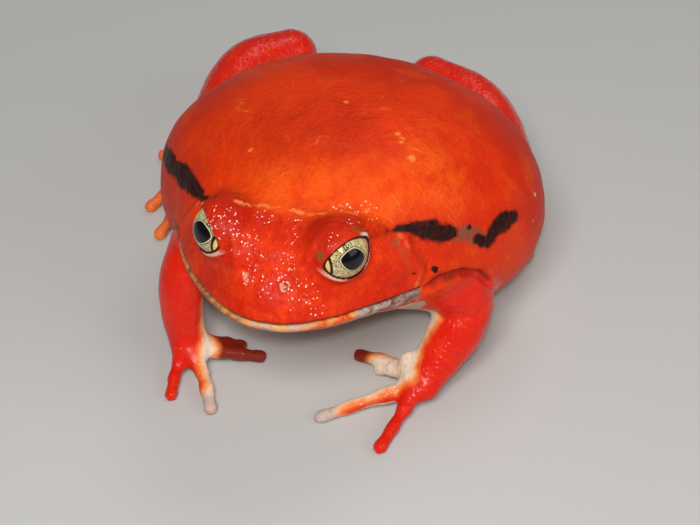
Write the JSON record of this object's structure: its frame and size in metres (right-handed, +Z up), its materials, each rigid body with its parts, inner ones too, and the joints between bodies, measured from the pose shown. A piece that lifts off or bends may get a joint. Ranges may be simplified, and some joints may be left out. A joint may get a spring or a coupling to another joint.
{
  "type": "tomato frog",
  "caption": "Stout tomato frog sitting with its head raised, arms spread ahead and hind legs folded at its sides; a still, life-size model.",
  "frame": {"origin": "centre of the small flat under the belly, on the floor", "axes": "+Z up, -Y ahead of the snout, +X to the frog's left"},
  "size_m": [0.0865, 0.096, 0.0476],
  "materials": {
    "back_skin": "stands for moist, finely granular orange-red skin of the back and flanks",
    "head_skin": "stands for moist, redder skin of the head with fine pale granules",
    "jaw_skin": "stands for the paler yellow-orange skin of the lower lip and throat",
    "limb_skin": "stands for wet, bright red skin of the arms and legs",
    "iris": "stands for the polished, clear-coated eye with a silvery gold iris"
  },
  "bodies": {
    "root": {"torso": "back_skin", "head": "head_skin", "lower_jaw": "jaw_skin", "eye_left": "iris", "eye_right": "iris", "upper_arm_left": "limb_skin", "upper_arm_right": "limb_skin", "forearm_left": "limb_skin", "forearm_right": "limb_skin", "hand_left": "limb_skin", "hand_right": "limb_skin", "thigh_left": "limb_skin", "thigh_right": "limb_skin", "shank_left": "limb_skin", "shank_right": "limb_skin", "foot_left": "limb_skin", "foot_right": "limb_skin"}
  },
  "joints": []
}
